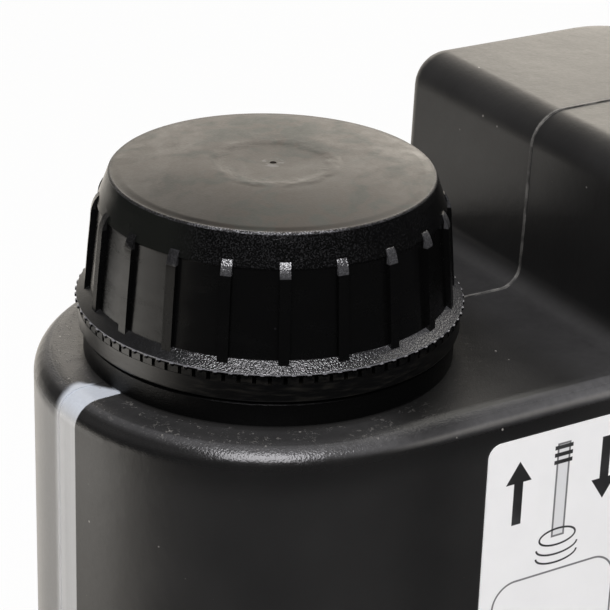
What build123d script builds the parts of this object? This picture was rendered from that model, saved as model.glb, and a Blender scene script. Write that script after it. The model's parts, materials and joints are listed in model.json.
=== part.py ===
import os
from math import pi, radians, sqrt, tan

from build123d import *

# Driving dimensions, in mm. The bottle stands on z = 0 with its label side towards -Y.
# The neck is at the -X end, and the tall block fills the rest of the top.
body_width = 116.0  # end to end, along X
half_depth = 31.8  # half the thickness, and the radius of the rounded neck end
shoulder_height = 162.0  # the low flat shoulder that the neck stands on
block_rise = 26.0  # the block's top above the shoulder
block_gap = 42.0  # from the neck's axis to the block's face, at shoulder level
face_lean = 1.4  # degrees, the block's face leans back
wall = 1.2  # blown wall
room_chamfer = 1.5  # inside corners, which keeps the wall about as thick behind the outer rounds
rim_fillet = 3.5  # all round the upper edges of the sides
foot_fillet = 3.3  # where the block's face rises from the shoulder
brow_fillet = 5.2  # where the block's face turns into its top
end_corner = 12.0  # upright corners of the plain end
base_fillet = 4.5
base_push = 2.5  # how far the middle of the base is pushed up
base_ring = 8.0  # width of the ring that the bottle stands on, fillet included
seam_height = 0.15  # the parting ridge of the two mould halves
seam_width = 0.4
pinch_size = (62.0, 1.2)  # the scar that the mould's pinch leaves on the base
pinch_height = 0.4

bore_radius = 17.3
neck_radius = 19.3
neck_lip = 22.5  # heights on the neck and cap are above the shoulder
collar_radius = 25.1
collar_height = 3.5
waist_radius = 22.2  # neck below the band's catch
bead_radius = 23.5
bead_low = 5.5
bead_high = 6.9
neck_foot = 8.6

band_radius = 25.75
band_low = 3.95
band_high = 6.45
band_wall = 1.3
band_hook_radius = 22.9
bridge_count = 82
bridge_high = 7.4
bridge_size = (0.9, 1.45)  # radial, round the ring
bridge_inset = 0.05  # from the band's outside

flange_radius = 26.0
flange_low = 7.45
flange_high = 7.95
panel_foot = (24.25, 9.07)  # radius, height
panel_head = (23.05, 20.9)
bevel_foot = (23.2, 21.1)
bevel_head = (21.75, 25.12)
rim_round = 0.25
cap_crown = 26.65  # middle of the slightly domed top
cap_bore = 20.9
cap_bore_top = 24.0
disc_radius = 8.1  # shallow dish sunk in the middle of the top
disc_slope = 0.9
disc_depth = 0.14
gate_radius = 0.45
gate_depth = 0.5
rib_count = 20
rib_width = 1.4
rib_angle = -116.8  # degrees, one rib's place round the neck
rib_face = (  # rounded over at its head
    (24.97, 7.95), (24.85, 9.6), (24.4, 15.0), (24.05, 18.5),
    (23.99, 19.5), (23.85, 20.35), (23.6, 21.05), (23.3, 21.6), (22.95, 22.0),
)
rib_root = 0.6  # how far a rib runs into the cap's wall
skirt_bore = 23.95  # the cap's mouth, clear of the neck's bead
skirt_cone = 10.4  # height at which the mouth has narrowed to the cap's bore

liner_radius = 20.3
liner_low = 23.35

guide_bore = 6.58  # running fit on the pouring tube
guide_radius = 8.0
guide_low = 2.0
guide_high = 14.2
plug_radius = 17.25
plug_wall = 1.2
plug_floor = 12.0
plug_flange_radius = 19.0
plug_flange_top = 23.2
drain_count = 3
drain_size = (7.0, 2.6)

tube_radius = 6.5
tube_bore = 5.4
tube_top = 23.0
tube_length = 127.0
stop_radius = 8.0
stop_height = 2.0
grip_radius = 8.8
grip_height = 2.6
ring_radius = 7.9
ring_height = 2.0
pull_travel = 103.0

thread_lead = 10.0  # two starts, 5 mm apart
cap_turns = 12.5

label_left = 14.5  # from the neck's axis
label_right = 70.5
label_top = 4.8  # below the shoulder
label_bottom = 142.0
label_corner = 2.0
label_thickness = 0.15

# Worked out from the dimensions above.
neck_x = half_depth - body_width / 2
end_x = body_width / 2
block_top = shoulder_height + block_rise
face_shift = block_rise * tan(radians(face_lean))
neck_plane = Plane((neck_x, 0, shoulder_height))  # heights above the shoulder, radii from the neck's axis
neck_section = Plane(neck_plane.origin, x_dir=(1, 0, 0), z_dir=(0, -1, 0))
neck_axis = Axis(neck_plane.origin, (0, 0, 1))
axis_place = Location((neck_x, 0, shoulder_height))

os.makedirs("parts", exist_ok=True)


# The plan of the body, drawn inwards from its outside by a distance.
def plan(inset):
    depth = half_depth - inset
    end = end_x - inset
    corner = end_corner - inset
    with BuildSketch(mode=Mode.PRIVATE) as outline:
        with BuildLine():
            Line((neck_x, -depth), (end - corner, -depth))
            CenterArc((end - corner, corner - depth), corner, -90, 90)
            Line((end, corner - depth), (end, depth - corner))
            CenterArc((end - corner, depth - corner), corner, 0, 90)
            Line((end - corner, depth), (neck_x, depth))
            CenterArc((neck_x, 0), depth, 90, 180)
        make_face()
    return outline.sketch


# The side view: shoulder, block face and block top, also drawn inwards by a distance.
def side(inset, low, ends):
    left = -end_x + inset if ends else -end_x - wall
    right = end_x - inset if ends else end_x + wall
    foot = (neck_x + block_gap + inset, shoulder_height - inset)
    brow = (neck_x + block_gap + inset + face_shift, block_top - inset)
    with BuildSketch(mode=Mode.PRIVATE) as view:
        with BuildLine():
            Polyline((left, low), (left, foot[1]), foot, brow, (right, brow[1]), (right, low), close=True)
        make_face()
        rounds = [(foot, foot_fillet + inset), (brow, brow_fillet - inset)]
        if ends:
            rounds += [((left, foot[1]), rim_fillet - inset), ((right, brow[1]), rim_fillet - inset)]
        for corner, radius in rounds:
            fillet(view.vertices().sort_by_distance((*corner, 0))[0], radius)
    return view.sketch


# The edges where the sides of a body form meet its shoulder, block face and block top.
def upper_rim(form, low):
    across = form.edges().filter_by(Axis.Y)
    upright = form.edges().filter_by(Axis.Z)
    base = form.edges().filter_by_position(Axis.Z, low - 0.01, low + 0.01)
    return form.edges() - across - upright - base


# The room inside the shell, one wall inside the outer form everywhere.
with BuildPart() as room:
    with BuildSketch(Plane.XY.offset(wall)):
        add(plan(wall))
    extrude(amount=block_top)
    with BuildSketch(Plane.XZ):
        add(side(wall, wall, False))
    extrude(amount=body_width, both=True, mode=Mode.INTERSECT)
    chamfer(upper_rim(room, wall), room_chamfer)
    chamfer(room.edges().group_by(Axis.Z)[0], room_chamfer)
    with BuildSketch(Plane.XY.offset(wall)):
        add(plan(base_ring - wall))
    extrude(amount=base_push, taper=45, mode=Mode.SUBTRACT)

# The bottle: one blown shell with its collar and neck.
with BuildPart() as bottle_body:
    with BuildSketch():
        add(plan(0))
    extrude(amount=block_top)
    with BuildSketch(Plane.XZ):
        add(side(0, 0, False))
    extrude(amount=body_width, both=True, mode=Mode.INTERSECT)
    fillet(upper_rim(bottle_body, 0), rim_fillet)
    fillet(bottle_body.edges().group_by(Axis.Z)[0], base_fillet)
    with BuildSketch():
        add(plan(base_ring))
    extrude(amount=base_push, taper=45, mode=Mode.SUBTRACT)
    with BuildSketch(Plane.XY.offset(base_push)):
        SlotOverall(*pinch_size)
    extrude(amount=-pinch_height)
    # The parting ridge runs over both ends, the shoulder and the block.
    with BuildSketch(Plane.XZ):
        add(side(-seam_height, 2 * base_fillet, True))
    extrude(amount=seam_width / 2, both=True)
    # Collar, waist, catch bead and plain neck, turned round the neck's axis.
    with BuildSketch(neck_section):
        with BuildLine():
            Polyline(
                (bore_radius, -wall),
                (collar_radius, -wall),
                (collar_radius, collar_height - 0.3),
                (collar_radius - 0.3, collar_height),
                (waist_radius, collar_height),
                (waist_radius, bead_low),
                (bead_radius, bead_low),
                (bead_radius, bead_high - 0.4),
                (bead_radius - 0.6, bead_high),
                (neck_radius + 0.6, neck_foot),
                (neck_radius, neck_foot + 0.8),
                (neck_radius, neck_lip - 0.5),
                (neck_radius - 0.5, neck_lip),
                (bore_radius, neck_lip),
                close=True,
            )
        make_face()
    revolve(axis=neck_axis)
    add(room.part, mode=Mode.SUBTRACT)
    # The bore, flared where it opens under the shoulder.
    with BuildSketch(neck_section):
        with BuildLine():
            Polyline(
                (0, -2 * wall),
                (bore_radius + 4.4, -2 * wall),
                (bore_radius + 4.4, -wall),
                (bore_radius, collar_height),
                (bore_radius, neck_lip + 1),
                (0, neck_lip + 1),
                close=True,
            )
        make_face()
    revolve(axis=neck_axis, mode=Mode.SUBTRACT)
bottle_body.part.label = "bottle_body"
export_step(bottle_body.part, "parts/bottle_body.step")

# The tamper band: a ring caught under the neck's bead, with the snapped-off bridges on top.
with BuildPart() as tamper_band:
    with BuildSketch(neck_section):
        with BuildLine():
            Polyline(
                (band_radius - 0.15, band_low),
                (band_radius, band_low + 0.3),
                (band_radius, band_high),
                (band_radius - band_wall, band_high),
                (band_radius - band_wall, bead_low),
                (band_hook_radius, bead_low),
                (band_hook_radius, bead_low - 0.5),
                (band_radius - band_wall, band_low),
                close=True,
            )
        make_face()
    revolve(axis=neck_axis)
    with BuildSketch(neck_plane.offset(band_high)):
        with PolarLocations(band_radius - bridge_inset - bridge_size[0] / 2, bridge_count):
            Rectangle(*bridge_size)
    extrude(amount=bridge_high - band_high)
tamper_band.part.label = "tamper_band"
export_step(tamper_band.part, "parts/tamper_band.step")

# One grip rib, standing on the cap's wall, with a rounded head that runs out on the bevel.
with BuildPart() as rib:
    with BuildSketch(Plane.XZ):
        with BuildLine():
            root = panel_head[0] - rib_root
            Polyline((root, rib_face[0][1]), *rib_face, (root, rib_face[-1][1]), close=True)
        make_face()
    extrude(amount=rib_width / 2, both=True)

# The cap: flange, panelled wall with ribs, grained bevel and domed top, bored out from below.
with BuildPart() as screw_cap:
    with BuildSketch(neck_section):
        with BuildLine():
            crown_edge = (bevel_head[0] - rim_round, bevel_head[1] + rim_round)
            # The dome is part of a ball, so its slope at the dish follows from where the ball's middle is.
            dome_rise = cap_crown - crown_edge[1]
            ball_radius = (crown_edge[0] ** 2 + dome_rise**2) / (2 * dome_rise)
            crown_step = (disc_radius, cap_crown - ball_radius + sqrt(ball_radius**2 - disc_radius**2))
            crown_slope = (crown_step[1] - cap_crown + ball_radius, -disc_radius)
            Polyline(
                (skirt_bore, flange_low),
                (flange_radius - rim_round, flange_low),
                (flange_radius, flange_low + rim_round),
                (flange_radius, flange_high),
                panel_foot,
                panel_head,
                bevel_foot,
                bevel_head,
                crown_edge,
            )
            TangentArc(crown_step, crown_edge, tangent=crown_slope)
            Polyline(
                crown_step,
                (disc_radius - disc_slope, crown_step[1] - disc_depth),
                (gate_radius, crown_step[1] - disc_depth),
                (gate_radius, cap_crown - gate_depth),
                (0, cap_crown - gate_depth),
                (0, cap_bore_top),
                (cap_bore, cap_bore_top),
                (cap_bore, skirt_cone),
                (skirt_bore, neck_foot),
                (skirt_bore, flange_low),
            )
        make_face()
    revolve(axis=neck_axis)
    with Locations(axis_place):
        with PolarLocations(0, rib_count, start_angle=rib_angle):
            add(rib.part)
screw_cap.part.label = "screw_cap"
export_step(screw_cap.part, "parts/screw_cap.step")

# The sealing disc under the cap's top.
with BuildPart() as cap_liner:
    with BuildSketch(neck_plane.offset(liner_low)):
        Circle(liner_radius)
    extrude(amount=cap_bore_top - liner_low)
cap_liner.part.label = "cap_liner"
export_step(cap_liner.part, "parts/cap_liner.step")

# The plug in the neck: a cup with a flange on the lip and a long guide for the pouring tube.
with BuildPart() as spout_collar:
    with BuildSketch(neck_section):
        with BuildLine():
            Polyline(
                (guide_bore, guide_low),
                (guide_radius, guide_low),
                (guide_radius, plug_floor),
                (plug_radius - 0.4, plug_floor),
                (plug_radius, plug_floor + 0.4),
                (plug_radius, neck_lip),
                (plug_flange_radius, neck_lip),
                (plug_flange_radius, plug_flange_top),
                (plug_radius - plug_wall, plug_flange_top),
                (plug_radius - plug_wall, plug_floor + plug_wall),
                (guide_radius, plug_floor + plug_wall),
                (guide_radius, guide_high),
                (guide_bore, guide_high),
                close=True,
            )
        make_face()
    revolve(axis=neck_axis)
    # Slots that let drips run back past the guide.
    with BuildSketch(neck_plane.offset(plug_floor)):
        with PolarLocations((guide_radius + plug_radius - plug_wall) / 2, drain_count, start_angle=90):
            SlotOverall(*drain_size, rotation=90)
    extrude(amount=plug_wall, mode=Mode.SUBTRACT)
spout_collar.part.label = "spout_collar"
export_step(spout_collar.part, "parts/spout_collar.step")

# The pouring tube, drawn pushed down: pull grip and seating ring above, stop flange below.
with BuildPart() as spout_tube:
    tube_low = tube_top - tube_length
    with BuildSketch(neck_section):
        with BuildLine():
            Polyline(
                (tube_bore, tube_low),
                (stop_radius, tube_low),
                (stop_radius, tube_low + stop_height - 0.5),
                (stop_radius - 0.5, tube_low + stop_height),
                (tube_radius, tube_low + stop_height),
                (tube_radius, guide_high),
                (ring_radius, guide_high),
                (ring_radius, guide_high + ring_height),
                (tube_radius, guide_high + ring_height + 0.6),
                (tube_radius, tube_top - grip_height - 1.2),
                (grip_radius, tube_top - grip_height),
                (grip_radius, tube_top - 0.5),
                (grip_radius - 0.5, tube_top),
                (tube_bore + 0.8, tube_top),
                (tube_bore, tube_top - 1.4),
                close=True,
            )
        make_face()
    revolve(axis=neck_axis)
spout_tube.part.label = "spout_tube"
export_step(spout_tube.part, "parts/spout_tube.step")

# The label: a thin film on the flat side.
with BuildPart() as front_label:
    with BuildSketch(Plane.XZ.offset(half_depth)):
        label_x = neck_x + (label_left + label_right) / 2
        label_z = shoulder_height - (label_top + label_bottom) / 2
        with Locations((label_x, label_z)):
            RectangleRounded(label_right - label_left, label_bottom - label_top, label_corner)
    extrude(amount=label_thickness)
front_label.part.label = "front_label"
export_step(front_label.part, "parts/front_label.step")

# What the joints need, worked out from the same values.
cap_lift = thread_lead * cap_turns
print("neck axis x", round(neck_x, 3), "cap lift", cap_lift, "turn degrees", 360 * cap_turns)
print("lift per radian", round(thread_lead / (2 * pi), 6))
print("spout travel per radian", round(pull_travel / (2 * pi * cap_turns), 6))
print("inside volume, litres", round(room.part.volume / 1e6, 3))
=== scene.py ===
import bpy
import json
import math
from mathutils import Matrix, Vector

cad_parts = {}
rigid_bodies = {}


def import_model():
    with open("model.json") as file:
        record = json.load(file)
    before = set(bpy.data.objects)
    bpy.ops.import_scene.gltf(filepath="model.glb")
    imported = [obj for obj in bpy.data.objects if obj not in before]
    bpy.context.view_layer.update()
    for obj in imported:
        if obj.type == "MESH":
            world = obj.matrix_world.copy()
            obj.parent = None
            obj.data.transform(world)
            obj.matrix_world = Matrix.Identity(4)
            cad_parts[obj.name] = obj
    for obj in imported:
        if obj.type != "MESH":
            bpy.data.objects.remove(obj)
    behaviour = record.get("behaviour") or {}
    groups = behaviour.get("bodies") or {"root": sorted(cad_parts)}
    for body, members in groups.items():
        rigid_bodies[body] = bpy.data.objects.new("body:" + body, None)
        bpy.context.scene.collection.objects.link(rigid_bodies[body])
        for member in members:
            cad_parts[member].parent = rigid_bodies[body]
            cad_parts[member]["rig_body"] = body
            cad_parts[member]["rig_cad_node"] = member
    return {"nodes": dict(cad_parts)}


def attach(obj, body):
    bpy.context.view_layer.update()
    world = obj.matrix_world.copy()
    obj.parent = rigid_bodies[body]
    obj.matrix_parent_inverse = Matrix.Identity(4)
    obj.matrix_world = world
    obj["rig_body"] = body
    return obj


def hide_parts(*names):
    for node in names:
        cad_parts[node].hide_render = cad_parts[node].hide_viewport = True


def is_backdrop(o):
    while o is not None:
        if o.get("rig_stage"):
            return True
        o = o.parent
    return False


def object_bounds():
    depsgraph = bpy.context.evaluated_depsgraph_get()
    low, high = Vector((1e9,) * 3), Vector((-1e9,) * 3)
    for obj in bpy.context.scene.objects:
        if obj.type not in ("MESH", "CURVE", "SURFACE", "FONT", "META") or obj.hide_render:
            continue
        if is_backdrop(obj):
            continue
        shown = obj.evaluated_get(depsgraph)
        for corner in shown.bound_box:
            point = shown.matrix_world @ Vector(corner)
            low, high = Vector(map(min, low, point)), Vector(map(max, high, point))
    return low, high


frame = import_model()
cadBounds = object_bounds()
print("frame loaded")

mm = 0.001
neckPlace = -26.2  # the neck's axis, mm along x
shoulderPlace = 162.0  # the shoulder's height, mm; heights on the neck and cap are above this
neckX = neckPlace * mm
shoulderZ = shoulderPlace * mm
mergeDistance = 0.0005 * mm
smoothAngle = 32  # degrees; sharper edges stay sharp


# Selection and edit mode, as by hand.
def makeActive(piece):
    bpy.ops.object.select_all(action="DESELECT")
    piece.select_set(True)
    bpy.context.view_layer.objects.active = piece


def editMesh(piece, mode="VERT"):
    makeActive(piece)
    bpy.ops.object.mode_set(mode="EDIT")
    bpy.ops.mesh.select_mode(type=mode)
    bpy.ops.mesh.select_all(action="DESELECT")


def selectWhole():
    bpy.ops.mesh.select_all(action="SELECT")


def leaveEdit():
    bpy.ops.object.mode_set(mode="OBJECT")


def pickVertices(piece, test):
    leaveEdit()
    for vertex in piece.data.vertices:
        vertex.select = test(vertex.co)
    bpy.ops.object.mode_set(mode="EDIT")


def applyModifier(piece, kind, **settings):
    makeActive(piece)
    bpy.ops.object.modifier_add(type=kind)
    modifier = piece.modifiers[-1]
    for key, value in settings.items():
        setattr(modifier, key, value)
    bpy.ops.object.modifier_apply(modifier=modifier.name)


def placeInMesh(piece):
    makeActive(piece)
    bpy.ops.object.transform_apply(location=True, rotation=True, scale=True)


def joinInto(piece, part):
    makeActive(piece)
    part.select_set(True)
    bpy.ops.object.join()


def smoothShade(piece):
    makeActive(piece)
    if piece.data.has_custom_normals:
        bpy.ops.mesh.customdata_custom_splitnormals_clear()
    bpy.ops.object.shade_smooth_by_angle(angle=math.radians(smoothAngle))
    applyModifier(piece, "WEIGHTED_NORMAL", mode="FACE_AREA", keep_sharp=True)


# A merged copy of a CAD node, which then stands for it.
def copyNode(nodeName, pieceName):
    makeActive(frame["nodes"][nodeName])
    bpy.ops.object.duplicate()
    piece = bpy.context.object
    piece.parent = None
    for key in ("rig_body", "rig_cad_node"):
        del piece[key]
    piece.name = pieceName
    piece.data.name = pieceName
    editMesh(piece)
    selectWhole()
    bpy.ops.mesh.remove_doubles(threshold=mergeDistance)
    leaveEdit()
    return piece


# One start of a thread: a tapered profile carried round and up by the Screw modifier.
def threadRidge(turnedBy, thread):
    root, crest = thread["root"], thread["crest"]
    middle = (root + crest) / 2
    bpy.ops.mesh.primitive_plane_add(
        size=1, rotation=(math.pi / 2, 0, 0),
        location=(neckX + middle, 0, shoulderZ + thread["low"]),
    )
    ridge = bpy.context.object
    ridge.scale = (abs(crest - root), thread["footWidth"], 1)
    placeInMesh(ridge)
    outward = 1 if crest > root else -1
    editMesh(ridge)
    pickVertices(ridge, lambda co: (co.x - neckX - middle) * outward > 0)
    bpy.ops.transform.resize(value=(1, 1, thread["crestWidth"] / thread["footWidth"]))
    leaveEdit()
    bpy.context.scene.cursor.location = (neckX, 0, shoulderZ)
    bpy.ops.object.origin_set(type="ORIGIN_CURSOR")
    steps = round(thread["stepsPerTurn"] * thread["turns"])
    applyModifier(
        ridge, "SCREW", axis="Z", angle=2 * math.pi * thread["turns"],
        screw_offset=thread["lead"] * thread["turns"], steps=steps, render_steps=steps,
    )
    editMesh(ridge, "EDGE")
    selectWhole()
    bpy.ops.mesh.fill_holes(sides=8)
    selectWhole()
    bpy.ops.mesh.normals_make_consistent(inside=False)
    leaveEdit()
    ridge.rotation_euler = (0, 0, math.radians(thread["angle"] + turnedBy))
    placeInMesh(ridge)
    return ridge


# All starts of a thread, made one with the closed shape that carries them.
def fuseThread(piece, thread):
    for k in range(thread["starts"]):
        ridge = threadRidge(k * 360 / thread["starts"], thread)
        applyModifier(piece, "BOOLEAN", object=ridge, operation="UNION", solver="EXACT")
        bpy.data.objects.remove(ridge)


# Materials, smooth shading, and what a finished piece stands for.
def dress(piece, materials, body, nodeName):
    piece.data.materials.clear()
    for material in materials:
        piece.data.materials.append(material)
    smoothShade(piece)
    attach(piece, body)
    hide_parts(nodeName)


def paint(nodeName, material):
    mesh = frame["nodes"][nodeName].data
    mesh.materials.clear()
    mesh.materials.append(material)


print("helpers ready")


# Shader maths as expressions: a Value is an output socket, a Sheet is one material's nodes.
class Value:
    def __init__(self, sheet, socket):
        self.sheet = sheet
        self.socket = socket

    def math(self, operation, *values):
        return self.sheet.node("ShaderNodeMath", {"operation": operation}, values)

    def __add__(self, other):
        return self.math("ADD", self, other)

    def __radd__(self, other):
        return self.math("ADD", other, self)

    def __sub__(self, other):
        return self.math("SUBTRACT", self, other)

    def __rsub__(self, other):
        return self.math("SUBTRACT", other, self)

    def __mul__(self, other):
        return self.math("MULTIPLY", self, other)

    def __rmul__(self, other):
        return self.math("MULTIPLY", other, self)

    def __truediv__(self, other):
        return self.math("DIVIDE", self, other)

    def __gt__(self, other):
        return self.math("GREATER_THAN", self, other)

    def __lt__(self, other):
        return self.math("LESS_THAN", self, other)

    def __pow__(self, other):
        return self.math("POWER", self, other)

    def __abs__(self):
        return self.math("ABSOLUTE", self)

    def larger(self, other):
        return self.math("MAXIMUM", self, other)

    def smaller(self, other):
        return self.math("MINIMUM", self, other)

    def ease(self, low, high):  # 0 below low, 1 above high, smooth between
        settings = {"interpolation_type": "SMOOTHSTEP"}
        return self.sheet.node("ShaderNodeMapRange", settings, [self, low, high, 0.0, 1.0])

    def fade(self, low, high):  # 1 below low, 0 above high
        return 1 - self.ease(low, high)


class Sheet:
    def __init__(self, owner):  # a material or a world
        owner.use_nodes = True
        self.owner = owner
        self.nodes = owner.node_tree.nodes
        self.links = owner.node_tree.links

    def set(self, socketName, value, nodeName="Principled BSDF"):
        self.join(self.nodes[nodeName].inputs[socketName], value)

    def join(self, socket, value):
        if isinstance(value, Value):
            self.links.new(value.socket, socket)
        else:
            socket.default_value = value

    def node(self, kind, settings=None, sockets=(), output=0):
        made = self.nodes.new(kind)
        for key, value in (settings or {}).items():
            setattr(made, key, value)
        pairs = sockets.items() if isinstance(sockets, dict) else enumerate(sockets)
        for key, value in pairs:
            self.join(made.inputs[key], value)
        return Value(self, made.outputs[output])

    def point(self):  # object coordinates in mm
        place = self.node("ShaderNodeTexCoord", output=3)
        settings = {"operation": "SCALE"}
        return self.node("ShaderNodeVectorMath", settings, {0: place, "Scale": 1 / mm})

    def axes(self, point):
        parts = self.node("ShaderNodeSeparateXYZ", sockets=[point])
        outputs = parts.socket.node.outputs
        return [Value(self, outputs[k]) for k in range(3)]

    def aroundNeck(self, x, y, z):  # along x from the neck's axis, round it, over the shoulder
        fromNeck = x - neckPlace
        return fromNeck, (fromNeck * fromNeck + y * y) ** 0.5, z - shoulderPlace

    def vector(self, x, y, z):
        return self.node("ShaderNodeCombineXYZ", sockets=[x, y, z])

    def towards(self, direction, side):  # 1 straight towards a side, -1 away from it
        settings = {"operation": "DOT_PRODUCT"}
        return self.node("ShaderNodeVectorMath", settings, {0: direction, 1: side}, 1)

    def noise(self, point, scale, detail=2.0, roughness=0.5, distortion=0.0):
        sockets = {"Vector": point, "Scale": scale, "Detail": detail, "Roughness": roughness,
                   "Distortion": distortion}
        return self.node("ShaderNodeTexNoise", sockets=sockets)

    def specks(self, point, scale, size, share):  # scattered dots, one here and there
        cells = self.node("ShaderNodeTexVoronoi", sockets={"Vector": point, "Scale": scale})
        tint = Value(self, cells.socket.node.outputs[1])
        pick = self.node("ShaderNodeSeparateColor", sockets=[tint])
        return cells.fade(size * 0.5, size) * (pick > 1 - share)

    def blend(self, factor, first, second):
        first, second = (v if isinstance(v, Value) else (*v, 1) for v in (first, second))
        settings = {"data_type": "RGBA"}
        return self.node("ShaderNodeMix", settings, {0: factor, 6: first, 7: second}, 2)

    def bump(self, height, distance):  # height 0 to 1, distance in mm
        sockets = {"Strength": 1.0, "Distance": distance * mm, "Height": height}
        self.set("Normal", self.node("ShaderNodeBump", sockets=sockets))

    def rays(self):
        names = ("Is Camera Ray", "Is Glossy Ray", "Is Transmission Ray")
        outputs = self.node("ShaderNodeLightPath").socket.node.outputs
        return [Value(self, outputs[name]) for name in names]


def newSheet(name, colour, roughness, specular, refraction=1.5):
    sheet = Sheet(bpy.data.materials.new(name))
    sheet.owner.diffuse_color = (*colour, 1)
    sheet.set("Base Color", (*colour, 1))
    sheet.set("Roughness", roughness)
    sheet.set("Specular IOR Level", specular)
    sheet.set("IOR", refraction)
    return sheet


print("shader helpers ready")


# The bottle: black blown shell with a pale level stripe, its neck and the neck's two threads.
bottleLook = {
    "black": (0.0132, 0.0130, 0.0127),
    "worn": (0.0205, 0.020, 0.0192),
    "shade": (0.0012, 0.0012, 0.0012),
    "film": (0.104, 0.103, 0.104),
    "stripe": (0.55, 0.55, 0.54),
    "stripeTop": (0.62, 0.66, 0.71),
    "sideSheen": (0.42, 0.41, 0.39),
    "dust": (0.26, 0.25, 0.23),
    "seam": (0.20, 0.195, 0.18),
    "roughness": 0.38,
    "browShine": 0.17,  # how much smoother the round under the shoulder is
    "specular": 0.48,
    "neckSpecular": 0.16,
    "bump": 0.03,  # mm
    # how fully each covers the black
    "stripeCover": 0.8,
    "sideSheenCover": 0.72,
    "seamCover": 0.35,
    "footSheen": 0.42,
    "highlightLine": 0.35,
    "dustCover": 0.8,
    "crumbCover": 0.32,
    # places in mm round the neck's axis, along x from it, or over the shoulder
    "stripeEdges": (-4.2, 0.9),
    "stripeEnd": -23.0,
    "sideSheenEnd": (-26.0, -12.0),
    "collarRadius": 26.0,
    "seamStart": 20.0,
    "filmDepth": 1.62,
    "highlightLineDepth": 1.85,
    "blockFoot": (34.0, 41.0),
    "blockFace": (30.0, 46.0),
    # where the neck's duller copy of the plastic goes, for painted shade: above and within
    "neckAbove": 0.5 * mm,
    "neckWithin": 30 * mm,
    "thread": {"starts": 2, "root": 19.0 * mm, "crest": 20.45 * mm, "low": 10.8 * mm,
               "turns": 1.0, "lead": 10 * mm, "angle": 25, "footWidth": 2.6 * mm,
               "crestWidth": 1.0 * mm, "stepsPerTurn": 96},
}


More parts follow.
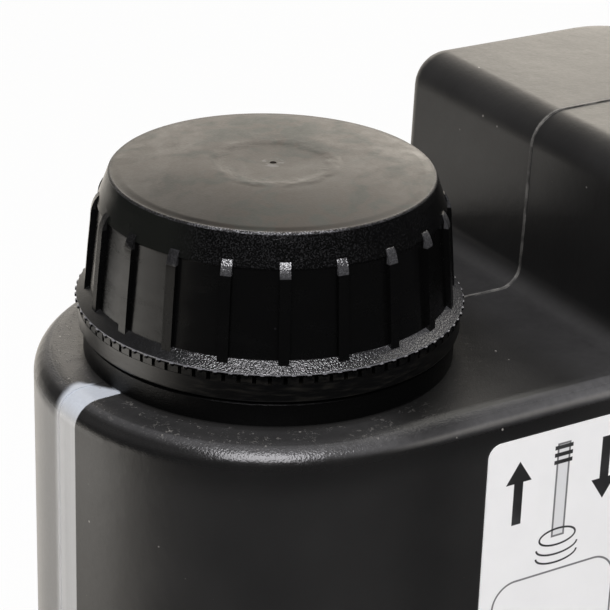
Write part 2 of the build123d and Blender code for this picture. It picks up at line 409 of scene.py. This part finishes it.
def bottlePlastic(name, look, specular):
    sheet = newSheet(name, look["black"], look["roughness"], specular)
    point = sheet.point()
    x, y, z = sheet.axes(point)
    fromNeck, radius, height = sheet.aroundNeck(x, y, z)
    depth = 0.0 - height
    beforeBlock = fromNeck.fade(*look["blockFoot"])
    fine = sheet.noise(point, 2.2)
    broad = sheet.noise(point, 0.06, 3.0)
    waves = sheet.noise(point, 0.35)
    colour = sheet.blend(broad.ease(0.2, 0.9), look["black"], look["worn"])

    # The level stripe: sharp towards the label, soft towards the back, narrower on the shoulder.
    frontEdge, backEdge = look["stripeEdges"]
    ragged = (sheet.noise(point, 0.5) - 0.5) * 0.5
    front = fromNeck.ease(-29.0, -24.0) * 0.2 + frontEdge
    narrowing = ((fromNeck + 28.0) / 4.1).larger(0.0) * 5.4
    back = backEdge + fromNeck.ease(-31.5, -28.5) * 0.6 - narrowing
    stripe = (y - front).ease(-0.1, 0.1) * (back - y + ragged).ease(-0.7, 0.9)
    stripe = stripe * (fromNeck < look["stripeEnd"]) * (height < 0.4)
    streak = sheet.noise(sheet.vector(x, y * 1.5, z * 0.02), 1.6) - 0.5
    stripeColour = sheet.blend(height.ease(-3.2, -0.6), look["stripe"], look["stripeTop"])

    # Painted sheen beside it, stronger further from the stripe, which fades out round the back.
    sideSheen = (y + 2.0).ease(0.0, 1.0) * y.fade(10.0, 22.0)
    sideSheen = sideSheen * fromNeck.fade(*look["sideSheenEnd"]) * height.fade(-4.5, -1.5)
    sideSheenAmount = sideSheen * (look["sideSheenCover"] + 0.26 * y.ease(3.0, 12.0))
    colour = sheet.blend(sideSheenAmount, colour, look["sideSheen"])
    colour = sheet.blend(stripe * (look["stripeCover"] + 0.14 * streak), colour, stripeColour)

    # The rubbed parting line on shoulder and block.
    offLine = abs(y + (waves - 0.5) * 0.5)
    seam = offLine.fade(0.14, 0.34) * height.ease(-6.0, -3.0) * (fromNeck > look["seamStart"])
    rubbed = sheet.noise(point, 0.45, 4.0, 0.7).ease(0.38, 0.62)
    seamCover = look["seamCover"] + (1 - look["seamCover"]) * rubbed
    colour = sheet.blend(seam * seamCover, colour, look["seam"])

    # Painted shade: the collar and neck under the cap are darkened.
    underCapShade = height.ease(0.1, 0.3) * (radius < look["collarRadius"])
    colour = sheet.blend(underCapShade, colour, look["shade"])

    # Dusty film with painted sheen: thickest on the shoulder's edge, thinner on its flat, and a
    # painted reflection at the block's foot.
    onRound = depth.ease(0.17, 0.28)
    onRight = fromNeck.ease(2.0, 22.0)
    straight = fromNeck.ease(-3.0, 8.0) * beforeBlock
    filmEdge = look["filmDepth"] + fromNeck.smaller(8.0) * 0.033 + straight * 0.42
    brim = onRound * (filmEdge - depth).ease(-0.45, 0.45)
    brim = brim * (0.85 + depth * (0.3 + 0.3 * onRight)) * beforeBlock
    flat = (1 - onRound) * radius.ease(25.3, 26.4 + 3.0 * onRight)
    flat = flat * (0.33 + 0.2 * y.ease(0.0, 8.0)) * (1 - 0.85 * onRight)
    faceStart, faceEnd = look["blockFace"]
    footReflection = fromNeck.ease(26.0, 36.0) * height.fade(0.3, 2.6) * (depth < 0.3)
    footReflection = footReflection * (fromNeck < faceEnd) * look["footSheen"]
    # The cap's painted shadow on the shoulder beside it, which also thins the film there.
    capShadow = radius.fade(27.0, 35.0) * fromNeck.ease(-2.0, 8.0) * fromNeck.fade(22.0, 30.0)
    dustAndSheen = ((brim + flat) * (1 - 0.85 * capShadow)).larger(footReflection)
    settled = sheet.noise(point, 1.1).ease(-1.5, 2.5) * (0.4 + broad)
    colour = sheet.blend(dustAndSheen * settled * (1 - stripe), colour, look["film"])
    # A painted highlight line along the lower edge of the shoulder's round, in the dust colour.
    highlightLine = abs(depth - look["highlightLineDepth"]).fade(0.05, 0.5) * straight
    colour = sheet.blend(highlightLine * look["highlightLine"], colour, look["dust"])

    # Painted shade under the shoulder's edge, in the cap's painted shadow between cap and block,
    # and on the block's face.
    underShade = depth.ease(1.4, 2.2) * depth.fade(2.6, 8.0) * (1 - stripe) * (1 - sideSheen)
    underShade = underShade * fromNeck.fade(26.0, 40.0)
    underShade = underShade.larger(capShadow * 1.6 * (height < 0.3)) * 0.5
    onFace = height.ease(1.0, 4.0) * height.fade(21.0, 24.0)
    onFace = onFace * (fromNeck > faceStart) * fromNeck.fade(44.0, 50.0)
    faceShade = 0.25 + 0.3 * height.fade(6.0, 16.0) + 0.15 * height.ease(15.0, 19.0)
    colour = sheet.blend(underShade.larger(onFace * faceShade), colour, look["shade"])

    # Crumbs lie in clumps round the collar, and single specks anywhere.
    nearNeck = radius.ease(25.2, 26.0) * radius.fade(29.0, 32.0) * height.ease(-1.0, -0.2)
    clumps = waves.ease(0.40, 0.58) * (1 - stripe) * (1 - 0.85 * fromNeck.ease(-2.0, 12.0))
    clumps = clumps * nearNeck
    crumbs = sheet.noise(point, 1.7, 3.0, 0.65, 0.4).ease(0.572, 0.63) * clumps
    dust = sheet.specks(point, 0.42, 0.085, 0.14)
    dust = dust.larger(sheet.specks(point, 0.8, 0.15, 0.30) * clumps)
    colour = sheet.blend(dust * look["dustCover"], colour, look["dust"])
    colour = sheet.blend(crumbs * look["crumbCover"], colour, look["dust"])
    sheet.set("Base Color", colour)

    # The round below the shoulder is rubbed smoother; the shoulder is a little sandy.
    brow = height.ease(-3.4, -2.2) * height.fade(-1.0, -0.4) * fromNeck.fade(34.0, 40.0)
    rough = look["roughness"] + 0.10 * (fine - 0.5) + 0.12 * (broad - 0.5) + 0.2 * seam
    sheet.set("Roughness", rough - look["browShine"] * brow)
    sand = sheet.noise(point, 3.6, 1.0) * radius.fade(31.0, 40.0) * height.ease(-5.0, -1.0)
    sand = sand * (0.8 + 1.2 * brim)
    sheet.bump(fine * 0.35 + waves * 1.6 + sand + crumbs * 2.5, look["bump"])
    return sheet.owner


bottle = copyNode("bottle_body", "bottleShell")
fuseThread(bottle, bottleLook["thread"])
bottleMaterials = [
    bottlePlastic("bottleWall", bottleLook, bottleLook["specular"]),
    bottlePlastic("bottleNeckShaded", bottleLook, bottleLook["neckSpecular"]),
]
dress(bottle, bottleMaterials, "bottle", "bottle_body")
# The neck's faces take the duller copy of the plastic, a painted shade.
for face in bottle.data.polygons:
    above = face.center.z > shoulderZ + bottleLook["neckAbove"]
    face.material_index = int(above and face.center.x < neckX + bottleLook["neckWithin"])
print("bottle done")


# The cap: smooth sides, filmed top, sparkling grain on bevel, rib heads and flange, two threads.
capLook = {
    "black": (0.0020, 0.0020, 0.0020),
    "shade": (0.0008, 0.0008, 0.0008),
    "film": (0.052, 0.040, 0.030),
    "filmCool": (0.036, 0.040, 0.033),
    "grain": (0.020, 0.020, 0.021),
    "grainLow": (0.006, 0.006, 0.006),
    "glint": (0.40, 0.40, 0.42),
    "filmCover": 0.46,
    "bevelSheen": 0.14,
    "undersideShade": 0.9,
    "nibGlint": 0.4,
    "gateGlint": 0.15,
    "bump": 0.03,  # mm
    "grainBump": 4.2,
    "dishBump": 1.7,
    "lipBump": 3.0,
    "rolledBump": 4.0,
    # sides, seen from above: where painted glints show, towards the view (painted glints and sheen
    # strongest), film wiped off
    "glintSide": (0.134, -0.990),
    "viewSide": (-0.534, -0.845),
    "wipedSide": (-0.975, -0.222),
    # the CAD form, mm
    "wallRadius": 23.2,
    "wallTop": 21.1,
    "bevelSlope": 0.361,
    "topHeight": 25.2,
    "flangeLow": 7.9,
    "dishRadius": 7.9,
    "zones": {  # roughness, specular, index of refraction
        "capSide": (0.24, 0.20, 1.5),
        "capTop": (0.40, 0.38, 1.5),
        "capGrain": (0.27, 1.0, 1.62),
        "capBevel": (0.17, 0.13, 1.5),
        "capGrainShaded": (0.50, 0.50, 1.5),
    },
    "thread": {"starts": 2, "root": 21.2 * mm, "crest": 19.75 * mm, "low": 11.6 * mm,
               "turns": 1.0, "lead": 10 * mm, "angle": 147, "footWidth": 2.4 * mm,
               "crestWidth": 1.0 * mm, "stepsPerTurn": 96},
    "nib": {"count": 82, "radius": 25.95 * mm, "height": 7.66 * mm, "round": 0.12 * mm,
            "size": (0.5 * mm, 0.6 * mm, 0.5 * mm)},
}


def capPlastic(name, look):
    sheet = newSheet(name, look["black"], *look["zones"][name])
    point = sheet.point()
    x, y, z = sheet.axes(point)
    fromNeck, radius, height = sheet.aroundNeck(x, y, z)
    fine = sheet.noise(point, 3.0)
    spark = sheet.noise(point, 4.5, 1.0, 0.6)

    def turnedTo(side):  # 1 straight towards a side of the cap
        return (fromNeck * side[0] + y * side[1]) / radius

    # glinting is the side where painted glints show; towardView is where painted glints and sheen
    # are strongest.
    glinting = turnedTo(look["glintSide"]).ease(0.22, 0.55)
    towardView = turnedTo(look["viewSide"])
    rimGlint = towardView.ease(0.86, 0.98)
    wiped = turnedTo(look["wipedSide"]).ease(0.70, 0.98)

    # Where the mould was spark-eroded: bevel, heads of the ribs, flange and the upper rim, whose
    # painted glints are strongest towards the view.
    bevel = height.ease(20.9, 21.3) * height.fade(25.0, 25.3)
    wallRadius = look["wallRadius"] - (height - look["wallTop"]).larger(0.0) * look["bevelSlope"]
    heads = (radius - wallRadius).ease(0.05, 0.12) * height.ease(20.0, 20.15)
    slopeRadius = 24.25 + (9.07 - height) * 1.5625
    flange = (radius - slopeRadius).fade(0.05, 0.12) * (radius > 24.1)
    flange = flange * (height > look["flangeLow"]) * (height < 9.3)
    rim = (radius > 21.3) * height.ease(25.05, 25.2)
    nibTops = (radius - 25.95).ease(0.0, 0.06) * (height - 7.78).ease(0.0, 0.05)
    grain = heads.larger(flange).larger(nibTops)
    onTop = height.ease(look["topHeight"], 25.45)

    # The film on the top, in warm and cool patches, thinner towards the wiped side, with painted
    # sheen making it thicker on the side away from the view.
    swirl = sheet.noise(point, 0.22, 4.0, 0.6, 1.2)
    mottle = sheet.noise(point, 0.07, 3.0, 0.6, 0.6)
    scuffs = sheet.noise(point, 0.5, 4.0, 0.7, 0.8)
    patches = 1.1 * (mottle - 0.5) + 0.7 * (swirl - 0.5) + 0.4 * (scuffs - 0.5)
    filmAndSheen = onTop * (look["filmCover"] + patches)
    filmAndSheen = filmAndSheen * (1 - 0.6 * wiped * radius.ease(9.0, 18.0))
    filmAndSheen = filmAndSheen * (1 + 0.45 * (0.0 - towardView).ease(0.3, 1.0) * radius.ease(6.0, 16.0))
    tint = (swirl + (mottle - 0.5) * 0.8).ease(0.48, 0.66)
    filmColour = sheet.blend(tint, look["film"], look["filmCool"])
    colour = sheet.blend(filmAndSheen, look["black"], filmColour)
    # Painted sheen on the bevel, away from the glinting side.
    colour = sheet.blend(bevel * (1 - glinting) * look["bevelSheen"], colour, look["filmCool"])
    # Painted shade below the flange.
    underFlangeShade = (height < look["flangeLow"]) * look["undersideShade"]
    colour = sheet.blend(underFlangeShade, colour, look["shade"])

    # The grain, painted brighter towards the view, and painted glints on heads, nibs, flange, rim
    # and bevel.
    coarse = spark.ease(0.46, 0.68) * (0.45 + 0.55 * towardView.ease(0.7, 0.98))
    colour = sheet.blend(grain, colour, sheet.blend(coarse, look["grainLow"], look["grain"]))
    lit = heads * glinting * (0.02 + 0.12 * spark) + nibTops * look["nibGlint"]
    litFlange = flange * glinting * towardView.fade(0.6, 0.97) * (0.085 + 0.10 * coarse)
    colour = sheet.blend(lit.larger(litFlange), colour, look["glint"])
    pricks = sheet.noise(point, 4.6, 1.0, 0.7).ease(0.45, 0.65) * rim
    dots = sheet.noise(point, 5.2, 1.0, 0.7).ease(0.50, 0.68) * bevel
    dots = dots * (0.002 + 0.03 * glinting * (0.4 + 0.6 * towardView.ease(0.75, 0.97)))
    pricked = (pricks * (0.12 + 0.5 * rimGlint)).larger(dots)
    colour = sheet.blend(pricked, colour, look["glint"])

    # Painted glints on the gate's broken ring in the middle, and a few specks.
    gateRing = abs(radius - 1.1).fade(0.2, 0.7) * onTop * sheet.noise(point, 0.9).ease(0.45, 0.6)
    colour = sheet.blend(gateRing * look["gateGlint"], colour, look["glint"])
    colour = sheet.blend(sheet.specks(point, 0.45, 0.07, 0.10) * 0.5, colour, look["grain"])
    sheet.set("Base Color", colour)

    # The top is smeared and the sides smudged; grain is smoother away from the glinting side and
    # off the view's line.
    smeared = 0.20 * (swirl - 0.5) + 0.22 * (scuffs - 0.5) + 0.40 * (mottle - 0.5)
    smudge = sheet.noise(sheet.vector(x * 0.35, y * 0.35, z * 1.1), 0.5, 3.0) - 0.5
    rough = look["zones"][name][0] + 0.1 * (fine - 0.5) + onTop * smeared
    rough = rough + (1 - onTop) * (1 - grain) * 0.3 * smudge
    shine = ((1 - glinting) * 0.14).larger(towardView.fade(0.93, 1.0) * 0.08)
    sheet.set("Roughness", rough - grain * shine)

    # Relief: grain, a shallow dish with a patchy lip, and the rolled edge of the top.
    eroded = (heads * 0.5).larger(flange) * (0.3 + 0.7 * glinting)
    eroded = eroded.larger(rim * (0.3 + 0.7 * rimGlint)) + bevel * (0.15 + 0.25 * glinting)
    dish = (radius + 2.6 * (swirl - 0.5)).ease(5.8, 8.2) * onTop
    rolled = radius.ease(20.0, 21.4) * onTop
    patchy = sheet.noise(point, 0.2).ease(0.38, 0.6)
    lip = abs(radius - look["dishRadius"]).fade(0.2, 1.5) * onTop * patchy * (0.4 + 0.6 * glinting)
    relief = fine * 0.3 + spark * eroded * look["grainBump"] + swirl * onTop * 0.3
    relief = relief + dish * look["dishBump"] + lip * look["lipBump"] - rolled * look["rolledBump"]
    sheet.bump(relief, look["bump"])
    return sheet.owner


# One nib of the flange's rim, then copied round it.
def rimNibs(nib):
    bpy.ops.mesh.primitive_cube_add(
        size=1, location=(neckX + nib["radius"], 0, shoulderZ + nib["height"])
    )
    ring = bpy.context.object
    ring.scale = nib["size"]
    placeInMesh(ring)
    editMesh(ring, "EDGE")
    selectWhole()
    bpy.ops.mesh.bevel(offset=nib["round"], segments=2, affect="EDGES")
    selectWhole()
    copies = nib["count"] - 1
    bpy.ops.mesh.spin(
        steps=copies, dupli=True, angle=2 * math.pi * copies / nib["count"],
        center=(neckX, 0, 0), axis=(0, 0, 1),
    )
    leaveEdit()
    return ring


# Which of the cap's plastics a face has, by its place.
def capZone(face, look):
    overWall = face.center.z - shoulderZ - look["wallTop"] * mm
    if face.center.z > shoulderZ + look["topHeight"] * mm:
        return "capTop"
    if face.normal.z <= 0.25 or face.center.z <= shoulderZ + 7.5 * mm:
        return "capSide"
    wide = math.hypot(face.center.x - neckX, face.center.y)
    if overWall > 0 and wide < (look["wallRadius"] + 0.05) * mm - look["bevelSlope"] * overWall:
        return "capBevel"
    sideX, sideY = look["glintSide"]
    glinting = ((face.center.x - neckX) * sideX + face.center.y * sideY) / wide
    if overWall > -3 * mm and glinting < 0.4:  # a rib head away from the glints, given the side plastic for painted shade
        return "capSide"
    # Grain away from the glinting side takes a duller, rougher copy of the plastic, for painted
    # shade.
    return "capGrain" if glinting > 0.30 else "capGrainShaded"


cap = copyNode("screw_cap", "screwCap")
fuseThread(cap, capLook["thread"])
joinInto(cap, rimNibs(capLook["nib"]))
capZones = list(capLook["zones"])
dress(cap, [capPlastic(name, capLook) for name in capZones], "cap", "screw_cap")
for face in cap.data.polygons:
    face.material_index = capZones.index(capZone(face, capLook))
print("cap done")


# The tamper band, of the same plastic, smoother and duller.
bandLook = {
    "black": (0.0020, 0.0020, 0.0020),
    "shade": (0.0008, 0.0008, 0.0008),
    "film": (0.010, 0.009, 0.007),
    "torn": (0.020, 0.020, 0.021),
    "roughness": 0.34,
    "specular": 0.40,
    "tornCover": 0.15,
    "bump": 0.02,  # mm
}


def bandPlastic(look):
    sheet = newSheet("bandPolypropylene", look["black"], look["roughness"], look["specular"])
    point = sheet.point()
    height = sheet.axes(point)[2] - shoulderPlace
    fine = sheet.noise(point, 2.6)
    flattened = sheet.node("ShaderNodeMapping", sockets={"Vector": point, "Scale": (1, 1, 6)})
    rubbed = sheet.noise(flattened, 0.35, 3.0)
    colour = sheet.blend(rubbed.ease(0.45, 0.8), look["shade"], look["film"])
    torn = height.ease(7.1, 7.3) * fine.ease(0.5, 0.7)  # the torn ends of the bridges
    sheet.set("Base Color", sheet.blend(torn * look["tornCover"], colour, look["torn"]))
    sheet.set("Roughness", look["roughness"] + 0.14 * (rubbed - 0.5))
    sheet.bump(fine * 0.4 + rubbed, look["bump"])
    return sheet.owner


band = copyNode("tamper_band", "tamperBand")
dress(band, [bandPlastic(bandLook)], "bottle", "tamper_band")
print("band done")


# The guide plug and the pouring tube, of natural polyethylene.
spoutLook = {
    "natural": (0.62, 0.61, 0.57),
    "cloud": (0.585, 0.575, 0.535),
    "roughness": 0.34,
    "specular": 0.45,
    "bump": 0.03,  # mm
}


def spoutPlastic(look):
    sheet = newSheet("naturalPolyethylene", look["natural"], look["roughness"], look["specular"])
    point = sheet.point()
    cloud = sheet.noise(point, 0.25, 3.0)
    fine = sheet.noise(point, 2.0)
    sheet.set("Base Color", sheet.blend(cloud.ease(0.35, 0.7), look["natural"], look["cloud"]))
    sheet.set("Roughness", look["roughness"] + 0.12 * (fine - 0.5))
    sheet.bump(fine * 0.3 + cloud, look["bump"])
    return sheet.owner


spoutMaterial = spoutPlastic(spoutLook)
guide = copyNode("spout_collar", "spoutGuide")
dress(guide, [spoutMaterial], "bottle", "spout_collar")
tube = copyNode("spout_tube", "pouringTube")
dress(tube, [spoutMaterial], "spout", "spout_tube")
print("spout done")


# The sealing disc keeps its CAD node.
linerLook = {
    "foam": (0.80, 0.79, 0.76),
    "pressed": (0.66, 0.64, 0.60),
    "roughness": 0.75,
    "specular": 0.3,
    "ringRadius": 18.2,  # mm, where the neck's lip bears
    "bump": 0.06,  # mm
}


def linerFoam(look):
    sheet = newSheet("sealFoam", look["foam"], look["roughness"], look["specular"])
    point = sheet.point()
    radius = sheet.aroundNeck(*sheet.axes(point))[1]
    pressed = abs(radius - look["ringRadius"]).fade(0.7, 1.1)
    pores = sheet.noise(point, 5.0)
    flattened = pressed * 0.7 + 0.2 * (pores - 0.5)
    sheet.set("Base Color", sheet.blend(flattened, look["foam"], look["pressed"]))
    sheet.set("Roughness", look["roughness"] - 0.2 * pressed)
    sheet.bump(pores * 0.6 - pressed, look["bump"])
    return sheet.owner


paint("cap_liner", linerFoam(linerLook))
print("liner done")


# The label keeps its CAD node: white film with a plain drawing of how the tube is pulled up.
labelLook = {
    "white": (0.82, 0.82, 0.81),
    "ink": (0.02, 0.02, 0.02),
    "grey": (0.16, 0.16, 0.16),
    "pale": (0.52, 0.53, 0.54),
    "roughness": 0.38,
    "specular": 0.4,
    "bump": 0.03,  # mm
    "corner": (neckPlace + 14.5, shoulderPlace - 4.8),  # the label's upper left corner, mm
    # the drawing, in mm across and down from that corner
    "arrows": [(5.2, 3.4, 1), (19.6, 12.6, -1)],  # across, down to the tip, 1 for up
    "arrow": {"head": 3.2, "spread": 2.1, "shaft": 6.2, "width": 1.5},
    # across, down, half width, half height
    "tube": (12.4, 9.4, 0.95, 7.0),
    "bands": [(12.4, 2.9, 1.5, 0.30), (12.4, 4.0, 1.5, 0.30), (12.4, 5.1, 1.5, 0.30)],
    # the same, then how far above its middle a ring shows, and the outline's corner radius
    "rings": [(12.4, 16.6, 3.0, 1.25, 9.0), (12.4, 18.0, 3.4, 1.3, 0.0),
              (12.4, 19.3, 3.4, 1.3, 0.0)],
    "outline": (12.4, 38.0, 10.2, 16.2, 3.6),
    "line": 0.15,  # half of a line's width
    "soft": 0.04,  # half of an edge's blur
}


def labelFilm(look):
    sheet = newSheet("labelFilm", look["white"], look["roughness"], look["specular"])
    point = sheet.point()
    x, y, z = sheet.axes(point)
    u = x - look["corner"][0]
    v = look["corner"][1] - z
    line = look["line"]

    def edge(distance, width):  # 1 where distance is under width
        return distance.fade(width - look["soft"], width + look["soft"])

    def slab(across, down, halfWidth, halfHeight):  # how far outside a rectangle
        return (abs(u - across) - halfWidth).larger(abs(v - down) - halfHeight)

    def arrowMask(across, tip, way):
        arrow = look["arrow"]
        reach = (v - tip) * way
        head = abs(u - across) - reach * (arrow["spread"] / arrow["head"])
        head = head.larger(reach - arrow["head"])
        middle = tip + way * (arrow["head"] + arrow["shaft"] / 2)
        shaft = slab(across, middle, arrow["width"] / 2, arrow["shaft"] / 2 + 0.1)
        return edge(head.smaller(shaft), 0.0)

    ink = arrowMask(*look["arrows"][0]).larger(arrowMask(*look["arrows"][1]))
    wall = slab(*look["tube"])
    grey = edge(abs(wall), line)
    pale = edge(wall, 0.0) * 0.5
    for place in look["bands"]:
        ink = ink.larger(edge(slab(*place), 0.0))
    for across, down, wide, tall, upper in look["rings"]:
        du, dv = (u - across) / wide, (v - down) / tall
        reach = (du * du + dv * dv) ** 0.5
        slope = ((du / wide) ** 2.0 + (dv / tall) ** 2.0) ** 0.5 / reach
        ring = edge(abs(reach - 1.0) / slope, line)
        ink = ink.larger(ring * (v > down - upper))
    across, down, halfWidth, halfHeight, corner = look["outline"]
    outX = (abs(u - across) - (halfWidth - corner)).larger(0.0)
    outY = (abs(v - down) - (halfHeight - corner)).larger(0.0)
    body = (outX * outX + outY * outY) ** 0.5 - corner
    grey = grey.larger(edge(abs(body), line))
    colour = sheet.blend(pale, look["white"], look["pale"])
    colour = sheet.blend(grey, colour, look["grey"])
    colour = sheet.blend(ink, colour, look["ink"])
    mottle = sheet.noise(point, 0.12, 3.0)
    colour = sheet.blend(mottle.ease(0.4, 0.8) * 0.08, colour, look["pale"])
    sheet.set("Base Color", colour)
    sheet.set("Roughness", look["roughness"] + 0.1 * (mottle - 0.5) - 0.06 * ink)
    sheet.bump(sheet.noise(point, 0.3), look["bump"])
    return sheet.owner


paint("front_label", labelFilm(labelLook))
print("label done")


# Floor, world, lamps and camera. Floor and world are white to the camera, and what the plastic
# mirrors is pale behind the object and at its rounded end, and dark elsewhere.
stageLook = {
    "floor": (0.8, 0.8, 0.79),
    "floorSize": 6.0,
    "floorRoughness": 0.85,
    "cameraGlow": 0.94,
    "room": (0.25, 0.25, 0.25),
    "mirroredDark": (0.05, 0.05, 0.052),
    "mirroredPale": (1.0, 0.938, 0.85),
    # a side, where the pale starts and is full (1 is straight towards the side), and how pale
    "paleFloor": [
        ((0.534, 0.845, 0.0), 0.50, 0.78, 1.0),
        ((-0.9135, 0.4067, 0.0), 0.848, 0.951, 1.0),
        ((-0.5, 0.866, 0.0), -0.1, 0.4, 0.08),
    ],
    "paleRoom": ((0.534, 0.845, 0.0), 0.55, 0.95),
    "lamps": {  # place, aim, size, power, colour
        "keyPanel": ((-0.39, -0.59, 1.15), (-0.02, 0, 0.17), (0.7, 0.7), 17, (0.98, 0.965, 1.0)),
        "backPanel": ((0.62, 1.05, 0.58), (-0.02, 0, 0.18), (1.0, 0.5), 2.1, (1.0, 0.92, 0.80)),
        "blockPanel": ((0.95, 0.90, 0.50), (0.03, 0, 0.19), (0.5, 0.5), 1.2, (1.0, 0.92, 0.80)),
        "edgePanel": ((0.62, 0.30, 0.95), (0.02, 0, 0.16), (0.5, 0.5), 2.0, (1.0, 0.97, 0.90)),
        "tablePanel": ((-0.50, 0.27, 0.004), (-0.50, 0.27, 1.0), (0.5, 0.4), 1.1,
                       (1.0, 0.97, 0.92)),
    },
    "camera": {"azimuth": -32.299, "pitch": 24.433, "roll": 1.839, "lens": 144.577, "sensor": 36,
               "place": (-0.18307, -0.257127, 0.304721)},
}

bpy.ops.mesh.primitive_plane_add(size=stageLook["floorSize"], location=(0, 0, 0))
floor = bpy.context.object
floor.name = "floor"
floorSheet = newSheet("paleFloor", stageLook["floor"], stageLook["floorRoughness"], 0.0)
mottle = floorSheet.noise(floorSheet.point(), 0.02, 3.0)
floorSheet.set("Roughness", stageLook["floorRoughness"] + 0.1 * mottle)
toCamera, toGlossy, toClear = floorSheet.rays()
place = floorSheet.node("ShaderNodeTexCoord", output=3)
way = floorSheet.node("ShaderNodeVectorMath", {"operation": "NORMALIZE"}, [place])
pale = 0.0
for side, low, high, most in stageLook["paleFloor"]:
    pale = (floorSheet.towards(way, side).ease(low, high) * most).larger(pale)
mirrored = floorSheet.blend(pale, stageLook["mirroredDark"], stageLook["mirroredPale"])
glowColour = floorSheet.blend(toGlossy, (1, 1, 1), mirrored)
glow = floorSheet.node("ShaderNodeEmission", sockets=[glowColour, 1.0])
share = (toCamera.larger(toClear) * stageLook["cameraGlow"]).larger(toGlossy)
mixed = floorSheet.node("ShaderNodeMixShader", sockets=[share])
plain = floorSheet.nodes["Principled BSDF"].outputs[0]
floorSheet.links.new(plain, mixed.socket.node.inputs[1])
floorSheet.links.new(glow.socket, mixed.socket.node.inputs[2])
floorSheet.set("Surface", mixed, "Material Output")
floor.data.materials.append(floorSheet.owner)
floor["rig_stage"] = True

world = bpy.data.worlds.new("studio")
bpy.context.scene.world = world
room = Sheet(world)
toCamera, toGlossy, toClear = room.rays()
side, low, high = stageLook["paleRoom"]
pale = room.towards(room.node("ShaderNodeTexCoord", output=0), side).ease(low, high)
mirrored = room.blend(pale, stageLook["mirroredDark"], stageLook["mirroredPale"])
seen = room.blend(toCamera.larger(toClear), stageLook["room"], (1, 1, 1))
room.set("Color", room.blend(toGlossy, seen, mirrored), "Background")

for name, (place, aim, size, power, colour) in stageLook["lamps"].items():
    bpy.ops.object.light_add(type="AREA", location=place)
    lamp = bpy.context.object
    lamp.name = name
    lamp.data.shape = "RECTANGLE"
    lamp.data.size, lamp.data.size_y = size
    lamp.data.energy = power
    lamp.data.color = colour
    lamp.rotation_euler = (Vector(aim) - Vector(place)).to_track_quat("-Z", "Y").to_euler()
    lamp.visible_camera = False

view = stageLook["camera"]
azimuth, pitch, roll = (math.radians(view[key]) for key in ("azimuth", "pitch", "roll"))
level = math.cos(pitch)
sight = Vector((-math.sin(azimuth) * level, math.cos(azimuth) * level, -math.sin(pitch)))
across = Vector((math.cos(azimuth), math.sin(azimuth), 0))
above = across.cross(sight)
right = math.cos(roll) * across + math.sin(roll) * above
up = -math.sin(roll) * across + math.cos(roll) * above
bpy.ops.object.camera_add()
camera = bpy.context.object
camera.name = "camera"
camera.data.lens = view["lens"]
camera.data.sensor_width = view["sensor"]
turned = Matrix((right, up, -sight)).transposed().to_4x4()
turned.translation = Vector(view["place"])
camera.matrix_world = turned
bpy.context.scene.camera = camera
bpy.context.scene.view_settings.view_transform = "Standard"
print("stage done")

size = {"cad": [list(c) for c in cadBounds], "visual": [list(c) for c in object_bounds()]}
